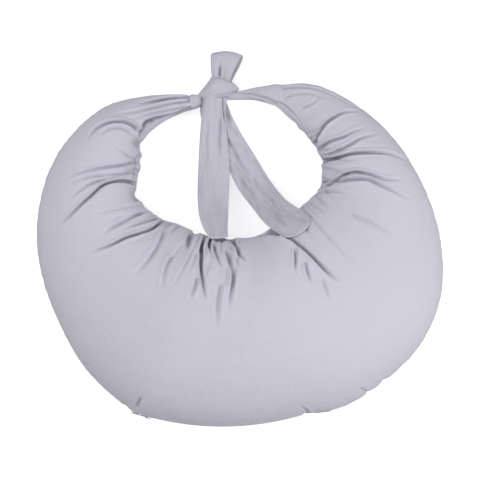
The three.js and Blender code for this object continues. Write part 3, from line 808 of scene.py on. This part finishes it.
def draped(middle, under):
    """Lifts a strip clear of the cover that lies under it, and evens out the lift."""
    lift = np.zeros(middle.shape[:2])
    for index in np.ndindex(lift.shape):
        x, y, z = middle[index]
        hit = under.ray_cast(Vector((x, y, DRAPE_FROM)) * MM, Vector((0, 0, -1)))[0]
        if hit is not None:
            lift[index] = max(0, hit.z / MM - z + DRAPE_GAP)
    lift = np.median(around(lift), axis=0)
    for _ in range(DRAPE_PASSES):
        lift = np.maximum(lift, np.mean(around(lift), axis=0))
    out = middle.copy()
    out[:, :, 2] += lift
    return out


def strip_normals(surface):
    """Unit normals of a strip, to the side that faces up where the strip starts."""
    normal = unit(np.cross(np.gradient(surface, axis=1), np.gradient(surface, axis=0)))
    return normal * np.sign(normal[0, surface.shape[1] // 2, 2])


def strip_grid(middle, relief, bulge=(0, 0)):
    """Rings round a folded strip of cloth, with rounded edges, and how deep in a fold each point is,
    which sets the shade painted into its folds; bulge opens the strip out along its length."""
    rows, columns = middle.shape[:2]
    normal = strip_normals(middle)
    along, side = np.meshgrid(np.linspace(0, 1, rows), np.linspace(-1, 1, columns), indexing="ij")
    height = relief(along, side)
    middle = middle + normal * height[:, :, None]
    half = CLOTH / 2 * np.clip(1 - np.abs(side) ** EDGE_POWER, EDGE_LEAST, 1) ** 0.5
    half[[0, -1]] *= END_THIN
    opened = np.interp(along, np.linspace(0, 1, len(bulge)), bulge)
    half = half + opened * np.clip(1 - np.abs(side) ** SLEEVE_POWER, 0, 1) ** 0.5
    top, under = middle + normal * half[:, :, None], middle - normal * half[:, :, None]
    # Painted shade: the deeper a point lies in a fold, the darker the tie's colour is painted there.
    shade = np.clip(-height / TIE_PAINTED_SHADE_DEPTH, 0, 1)
    return np.concatenate([top, under[:, ::-1]], axis=1), np.concatenate([shade, shade[:, ::-1]], axis=1)


def pleats(count, height, fade, lean):
    """Folds that run out from the knot and die away: count across, height at the knot."""
    def relief(along, side):
        wave = np.sin(math.pi * count * (side + lean * along) + PLEAT_PHASE)
        return height * wave * np.exp(-along / fade) * (1 - side ** 8)
    return relief


def soft_folds(seed, height, across, lengthwise):
    """Long shallow folds: a few sines whose size drifts along the strip."""
    rng = np.random.default_rng(seed)
    least_across, least_along = SOFT_LEAST
    terms = []
    for _ in range(SOFT_TERMS):
        wide, turn = rng.uniform(least_across, across), rng.uniform(0, SOFT_TURN)
        long_, start = rng.uniform(least_along, lengthwise), rng.uniform(0, SOFT_TURN)
        terms.append((wide, turn, long_, start))
    def relief(along, side):
        total = np.zeros_like(along)
        for wide, turn, long_, start in terms:
            wave = np.sin(math.pi * wide * side + turn + SOFT_SLANT * along)
            total += wave * np.sin(math.pi * long_ * along + start)
        return height * total / SOFT_SCALE
    return relief


def hem(height, depth):
    """The turned hem across a strip's far end, one layer of cloth thicker than the rest."""
    def relief(along, side):
        return height * smoothstep(1 - depth - HEM_EDGE, 1 - depth + HEM_EDGE, along)
    return relief


def fold(sides, start, end, depth, width):
    """One fold of a strip, from one place across it to another, with a ridge on its far side."""
    def relief(along, side):
        share = (along - start) / (end - start)
        off = side - (sides[0] + (sides[1] - sides[0]) * np.clip(share, 0, 1))
        fade = bell((share - FOLD_PEAK) / FOLD_FADE)
        return fade * depth * (FOLD_RIDGE * bell(off / width - 2) - bell(off / width))
    return relief


def relief_of(table):
    """All of a tie's folds together, which die away towards its far end."""
    makers = {"pleats": pleats, "soft_folds": soft_folds, "hem": hem, "fold": fold}
    reliefs = [makers[kind](*row) for kind, rows in table.items() for row in rows]
    return lambda along, side: sum(r(along, side) for r in reliefs) * (1 - END_CALM * along ** 12)


def knot_grid():
    """The wrap as rings from its left tip to its right one, with folds that run to both tips."""
    rows, columns = KNOT_GRID
    table = np.array(KNOT, float)
    line = spline(table, even(table[:, :2], rows))
    turn = np.linspace(0, 2 * math.pi, columns, endpoint=False)[None, :]
    middle, half = (line[:, 1:2] + line[:, 2:3]) / 2, (line[:, 1:2] - line[:, 2:3]) / 2
    grid = np.empty((rows, columns, 3))
    grid[:, :, 0] = line[:, 0:1]
    grid[:, :, 1] = middle + half * np.cos(turn)
    grid[:, :, 2] = KNOT_LEVEL + line[:, 3:4] * np.sign(np.sin(turn)) * np.abs(np.sin(turn)) ** 0.9
    share = np.linspace(0, 1, rows)[:, None]
    waves = [size * np.sin(count * turn + twist * share + start) for count, twist, start, size in KNOT_WAVES]
    folds = KNOT_FOLDS * sum(waves) * np.sin(math.pi * share) ** 0.5
    return grid - grid_normals(grid) * folds[:, :, None]


def tube_rings(line, side, lift, radius, count):
    """Rings of a round thread along a line, given the two directions across it."""
    turn = (2 * math.pi * np.arange(count) / count)[None, :, None]
    return line[:, None, :] + radius * (np.cos(turn) * side[:, None, :] + np.sin(turn) * lift[:, None, :])


def stitch_grids(line, normal):
    """Short threads in a row along a line, each one arched over the cloth and sunk in it at both ends."""
    run = run_along(line)
    sample = lambda values, at: np.stack([np.interp(at, run, values[:, k]) for k in range(3)], axis=1)
    arch = THREAD * np.array(THREAD_ARCH)[:, None]
    grids = []
    for start in np.arange(0, run[-1] - STITCH, STITCH + STITCH_GAP):
        at = start + STITCH * np.linspace(0, 1, len(arch))
        up = sample(normal, at)
        thread = sample(line, at) + up * arch
        side = unit(np.cross(np.gradient(thread, axis=0), up))
        grids.append(tube_rings(thread, side, up, THREAD, THREAD_SIDES))
    return grids


def hem_stitches(grid):
    """The row that holds a tail's hem, across its face, a little inside its end and its edges."""
    face = grid[:, : grid.shape[1] // 2]
    normal = strip_normals(face)
    row = len(face) - 1 - HEM_ROW
    return stitch_grids(face[row, HEM_INSET:-HEM_INSET], normal[row, HEM_INSET:-HEM_INSET])


def build_tail(cloth, under, name, guides, relief, near, far, node):
    """A tie end that lies on the cover, with the stitches of its hem."""
    middle = draped(strip_middle(guides, *TAIL_GRID), under)
    grid, shade = strip_grid(middle, relief_of(relief))
    piece = place(name, [grid], cloth, "tie_cotton", node, shade=shade)
    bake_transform(piece)
    show(name + "_stitches", hem_stitches(grid), cloth, far, "tie_cotton")


def build_loop(cloth):
    """The half bow over the knot."""
    grid, shade = strip_grid(strip_middle(LOOP, *LOOP_GRID), relief_of(LOOP_RELIEF))
    loop = place("tie_loop", [grid], cloth, "tie_cotton", "bow_loop", shade=shade)
    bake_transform(loop)


def build_leads(cloth):
    """The two ties from the horns' ends, where a sleeve holds them, into the knot."""
    leads = (
        ("tie_lead_right", RIGHT_LEAD, RIGHT_GRID, RIGHT_RELIEF, RIGHT_SLEEVE, "tie_right_lead"),
        ("tie_lead_left", LEFT_LEAD, LEFT_GRID, NO_RELIEF, LEFT_SLEEVE, "tie_left_lead"),
    )
    for name, guides, size, relief, sleeve, node in leads:
        grid, shade = strip_grid(strip_middle(guides, *size), relief_of(relief), sleeve)
        show(name, [grid], cloth, "pillow", "tie_cotton", node, shade=shade)


def build_ties(cloth, under):
    tails = (
        ("tie_end_front", FRONT_TAIL, FRONT_RELIEF, "back_tail", "front_tail", "tail_front"),
        ("tie_end_back", BACK_TAIL, BACK_RELIEF, "pillow", "back_tail", "tail_back"),
    )
    for tail in tails:
        build_tail(cloth, under, *tail)
    build_loop(cloth)
    show("tie_knot", [knot_grid()], cloth, "pillow", "tie_cotton", "knot_wrap")
    build_leads(cloth)


# ==== The zip ====

def coil_grid(node):
    """A helix of wire along the zip's arc, inside the box of the CAD's plain coil."""
    low, high = np.array(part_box(node)) / MM
    level = (low[2] + high[2]) / 2
    radius = ZIP_CENTRE[1] - low[1] - COIL_RADIUS
    count = int(2 * ZIP_HALF_ANGLE * radius / COIL_PITCH) * COIL_STEPS
    angle = np.linspace(-ZIP_HALF_ANGLE, ZIP_HALF_ANGLE, count) * COIL_SHARE
    turn = (2 * math.pi * np.arange(count) / COIL_STEPS)[:, None]
    out = np.stack([np.sin(angle), -np.cos(angle), np.zeros(count)], axis=1)
    up = np.array([0, 0, 1.0])
    line = np.array([ZIP_CENTRE[0], ZIP_CENTRE[1], level]) + out * radius
    line = line + (COIL_RADIUS - COIL_WIRE) * (np.cos(turn) * out + np.sin(turn) * up)
    along = np.gradient(line, axis=0)
    side = unit(np.cross(along, out))
    return tube_rings(line, side, unit(np.cross(side, along)), COIL_WIRE, THREAD_SIDES)


def zip_seams(cover_grid):
    """The rows of stitches that hold the zip's tapes, one above the slot and one below."""
    upper, lower = [], []
    for ring in cover_grid:
        angle = math.atan2(ring[0, 0] - ZIP_CENTRE[0], ZIP_CENTRE[1] - ring[0, 1])
        if ring[0, 1] > 0 or abs(angle) > ZIP_HALF_ANGLE:
            continue
        out = np.array([math.sin(angle), -math.cos(angle), 0])
        for rows, steps in ((upper, ring[:ZIP_SEAM_STEPS]), (lower, ring[:-ZIP_SEAM_STEPS:-1])):
            rise = np.abs(steps[:, 2] - ZIP_CENTRE[2])
            at = [np.interp(ZIP_SEAM, rise, steps[:, k]) for k in range(3)]
            rows.append((at, out))
    return [grid for rows in (upper, lower) for grid in stitch_grids(*np.array(rows).swapaxes(0, 1))]


def build_zip(cloth, cover_grid):
    """The zip's stitches and teeth, and the looks of the CAD pieces that are kept."""
    show("zip_seam_stitches", zip_seams(cover_grid), cloth, "pillow", "cover_cotton")
    nylon = plastic("zip_coil", NYLON)
    for node in ("zip_coil_upper", "zip_coil_lower"):
        show(node.replace("coil", "teeth"), [coil_grid(node)], nylon, "pillow", "zip_coil", node)
    finishes = {
        tape("zip_tape", TAPE): ("zip_tape_upper", "zip_tape_lower"),
        lacquered("zip_metal", METAL): ("zip_top_stop", "zip_bottom_stop", "zip_slider", "zip_pull"),
        ribbon("label_ribbon", RIBBON): ("care_label",),
    }
    for material, nodes in finishes.items():
        for node in nodes:
            bpy.data.objects[node].material_slots[0].material = material


# ==== Materials ====

class Graph:
    """A material's nodes, with short calls to add and join them."""

    def __init__(self, name, roughness, specular=0.2, metallic=0.0):
        self.material = bpy.data.materials.new(name)
        self.material.use_nodes = True
        self.tree = self.material.node_tree
        self.shader = self.tree.nodes["Principled BSDF"]
        self.set_surface({"Roughness": roughness, "Specular IOR Level": specular, "Metallic": metallic})

    def set_surface(self, values):
        for name, value in values.items():
            self.feed(self.shader.inputs[name], value)

    def feed(self, socket, value):
        """Joins an output to a socket, or sets the socket to a value or an opaque colour."""
        if isinstance(value, bpy.types.NodeSocket):
            self.tree.links.new(value, socket)
        elif socket.type == "RGBA":
            socket.default_value = (*value, 1)
        else:
            socket.default_value = value

    def add(self, kind, out, **inputs):
        """Adds a node, sets or joins its inputs, and returns one of its outputs."""
        node = self.tree.nodes.new("ShaderNode" + kind)
        for name, value in inputs.items():
            self.feed(node.inputs[name], value)
        return node.outputs[out]

    def noise(self, place, scale, detail, **inputs):
        return self.add("TexNoise", "Fac", Vector=place, Scale=scale, Detail=detail, **inputs)

    def where(self, kind="Object"):
        return self.add("TexCoord", kind)

    def stretch(self, place, scale):
        return self.add("Mapping", "Vector", Vector=place, Scale=scale)

    def math(self, operation, a, b):
        node = self.tree.nodes.new("ShaderNodeMath")
        node.operation = operation
        self.feed(node.inputs[0], a)
        self.feed(node.inputs[1], b)
        return node.outputs[0]

    def blend(self, factor, a, b):
        node = self.tree.nodes.new("ShaderNodeMix")
        node.data_type = "RGBA"
        for name, value in (("Factor", factor), ("A", a), ("B", b)):
            self.feed(next(s for s in node.inputs if s.name == name and s.enabled), value)
        return next(s for s in node.outputs if s.enabled)

    def add_painted_fold_shade(self):
        """How deep in a crease the point is, from the mesh, for the shade painted into the cloth's colour;
        nought where a mesh has none.
        """
        node = self.tree.nodes.new("ShaderNodeAttribute")
        node.attribute_name = "fold"
        return node.outputs["Fac"]

    def bands(self, place, threads_per_metre, across):
        """Rounded threads, side by side along X or Y or aslant."""
        node = self.tree.nodes.new("ShaderNodeTexWave")
        node.bands_direction = across
        node.inputs["Scale"].default_value = threads_per_metre / WAVE_BANDS
        self.feed(node.inputs["Vector"], place)
        return node.outputs["Fac"]

    def bump(self, height, distance, strength, under=None):
        normal = {} if under is None else {"Normal": under}
        return self.add("Bump", "Normal", Height=height, Distance=distance, Strength=strength, **normal)

    def finish(self, colour, height, distance, strength, under=None):
        self.set_surface({"Base Color": colour, "Normal": self.bump(height, distance, strength, under)})
        return self.material

    def mottled(self, pattern, base, dim):
        return self.blend(pattern, dimmed(base, dim), base)


def dimmed(colour, share):
    return tuple(share * c for c in colour)


def cotton(name, base, worn, crumple=1.0):
    """Matte plain-weave cotton: a soft crumple, a fine weave, and shade painted into its folds."""
    graph = Graph(name, roughness=0.92, specular=0.15)
    graph.set_surface({"Sheen Weight": 0.12, "Sheen Roughness": 0.6})
    place = graph.where()
    cloth = graph.where("UV")
    colour = graph.blend(graph.noise(place, 7, 5, Roughness=0.6), worn, base)
    slubs = graph.noise(graph.stretch(cloth, (60, 900, 1)), 1, 2)
    colour = graph.blend(graph.math("MULTIPLY", slubs, 0.5), colour, dimmed(base, 0.93))
    # Painted shade: the colour darkens towards 0.55 of the base where the mesh's fold attribute is high.
    colour = graph.blend(graph.math("MULTIPLY", graph.add_painted_fold_shade(), 0.55), colour, dimmed(base, 0.55))
    threads = graph.math("MULTIPLY", graph.bands(cloth, THREADS, "X"), graph.bands(cloth, THREADS, "Y"))
    weave = graph.bump(threads, 0.00015, 0.6)
    waves = graph.noise(place, 38, 3, Roughness=0.5, Distortion=0.6)
    broad = graph.bump(waves, 0.0035 * crumple, 0.42, weave)
    return graph.finish(colour, graph.noise(place, 140, 3), 0.0008 * crumple, 0.4, broad)


def plastic(name, base):
    """Satin nylon with a faint mottle."""
    graph = Graph(name, roughness=0.38, specular=0.45)
    mottle = graph.noise(graph.where(), 900, 2)
    return graph.finish(graph.mottled(mottle, base, 0.8), mottle, 0.0001, 0.3)


def tape(name, base):
    """Woven zip tape: ribs that run aslant across fine threads."""
    graph = Graph(name, roughness=0.85)
    place = graph.where()
    rib = graph.bands(graph.stretch(place, (1, 1, 1.4)), 1100, "DIAGONAL")
    height = graph.math("MULTIPLY", rib, graph.bands(place, 1600, "Z"))
    return graph.finish(graph.mottled(height, base, 0.82), height, 0.0002, 0.8)


def lacquered(name, base):
    """Cast zinc under a satin lacquer in the cover's colour: fine scratches and a cloudy roughness."""
    graph = Graph(name, roughness=0.32, specular=0.5, metallic=0.35)
    place = graph.where()
    scratches = graph.noise(graph.stretch(place, (300, 2500, 900)), 1, 3)
    cloud = graph.noise(place, 350, 3)
    graph.set_surface({"Roughness": graph.math("ADD", graph.math("MULTIPLY", cloud, 0.25), 0.22)})
    return graph.finish(graph.mottled(cloud, base, 0.78), scratches, 0.00005, 0.4)


def ribbon(name, base):
    """Satin woven ribbon, blank: fine warp ribs and a soft lustre."""
    graph = Graph(name, roughness=0.5, specular=0.4)
    place = graph.where()
    stain = graph.noise(place, 120, 2)
    ribs = graph.bands(place, 2200, "Z")
    return graph.finish(graph.mottled(stain, base, 0.9), ribs, 0.00008, 0.6)


def glowing(name, base, roughness, glow, strength):
    """A plain surface of the studio, with some light of its own."""
    graph = Graph(name, roughness, specular=0.5)
    graph.set_surface({"Base Color": base, "Emission Color": glow, "Emission Strength": strength})
    return graph.material


# ==== Studio ====

def area_light(name, where, side, power):
    data = bpy.data.lights.new(name, "AREA")
    data.shape = "SQUARE"
    data.size = side
    data.energy = power
    lamp = add_object(name, data)
    lamp.location = where
    lamp.rotation_euler = (Vector(LIGHTS_AIM) - Vector(where)).to_track_quat("-Z", "Y").to_euler()


def build_world(scene):
    """Soft light from above that falls to a dim grey below the horizon."""
    world = bpy.data.worlds.new("studio")
    world.use_nodes = True
    tree = world.node_tree
    background = tree.nodes["Background"].inputs
    place = tree.nodes.new("ShaderNodeTexCoord")
    split = tree.nodes.new("ShaderNodeSeparateXYZ")
    level = tree.nodes.new("ShaderNodeMapRange")
    tree.links.new(place.outputs["Generated"], split.inputs[0])
    tree.links.new(split.outputs["Z"], level.inputs["Value"])
    tree.links.new(level.outputs["Result"], background["Strength"])
    for name, value in SKY_LEVELS.items():
        level.inputs[name].default_value = value
    background["Color"].default_value = (*SKY, 1)
    scene.world = world


def build_floor():
    """White paper that doesn't throw its light back at the object."""
    mesh = bpy.data.meshes.new("floor")
    corners = [(x * FLOOR_HALF, y * FLOOR_HALF, 0) for x, y in ((-1, -1), (1, -1), (1, 1), (-1, 1))]
    mesh.from_pydata(corners, [], [(0, 1, 2, 3)])
    mesh.materials.append(glowing("paper", PAPER, 0.95, (1, 1, 1), FLOOR_GLOW))
    floor = add_object("floor", mesh)
    floor.location.z = -FLOOR_DROP
    floor.visible_diffuse = False


def build_backdrop():
    """A pale tent, far off, that the light passes through and only the camera sees."""
    tent = bmesh.new()
    bmesh.ops.create_uvsphere(tent, u_segments=48, v_segments=24, radius=TENT_RADIUS)
    mesh = bpy.data.meshes.new("backdrop")
    tent.to_mesh(mesh)
    mesh.materials.append(glowing("tent", (0, 0, 0), 0.5, TENT, 1))
    backdrop = add_object("backdrop", mesh)
    for ray in ("diffuse", "glossy", "shadow", "transmission"):
        setattr(backdrop, "visible_" + ray, False)


def build_studio():
    scene = bpy.context.scene
    scene.view_settings.view_transform = "Standard"
    build_world(scene)
    build_floor()
    build_backdrop()
    for light in LIGHTS:
        area_light(*light)


def build_camera():
    data = bpy.data.cameras.new("camera")
    data.lens = LENS
    data.sensor_width = SENSOR
    camera = add_object("camera", data)
    camera.location = (0, FRAME_SHIFT, SEAM_LEVEL + FRAME_WIDTH * LENS / SENSOR)
    bpy.context.scene.camera = camera


# ==== The object ====

def build_cover(cloth):
    """The cover, and its grid."""
    grid, shade = build_cover_grid()
    panels = ("cover_top_panel", "cover_bottom_panel")
    cover = show("cushion_cover", [grid], cloth, "pillow", "cover_cotton", *panels, shade=shade)
    return cover, grid


def build_inner(cloth):
    """The stuffed casing inside the cover."""
    grid = crescent_grid(INNER_INSET, INNER_STATIONS, INNER_STEPS, INNER_ENDS)
    nodes = ("inner_casing_top", "inner_casing_bottom", "fibre_fill")
    inner = show("inner_cushion", [grid], cloth, "pillow", "casing_cotton", *nodes)


build_camera()
build_studio()
cover_cotton = cotton("cover_cotton", COVER_BASE, COVER_WORN)
cover, cover_grid = build_cover(cover_cotton)
build_inner(cotton("casing_cotton", CASING_BASE, CASING_WORN))
under = BVHTree.FromObject(cover, bpy.context.evaluated_depsgraph_get())
build_ties(cotton("tie_cotton", TIE_BASE, TIE_WORN, TIE_CRUMPLE), under)
build_zip(cover_cotton, cover_grid)
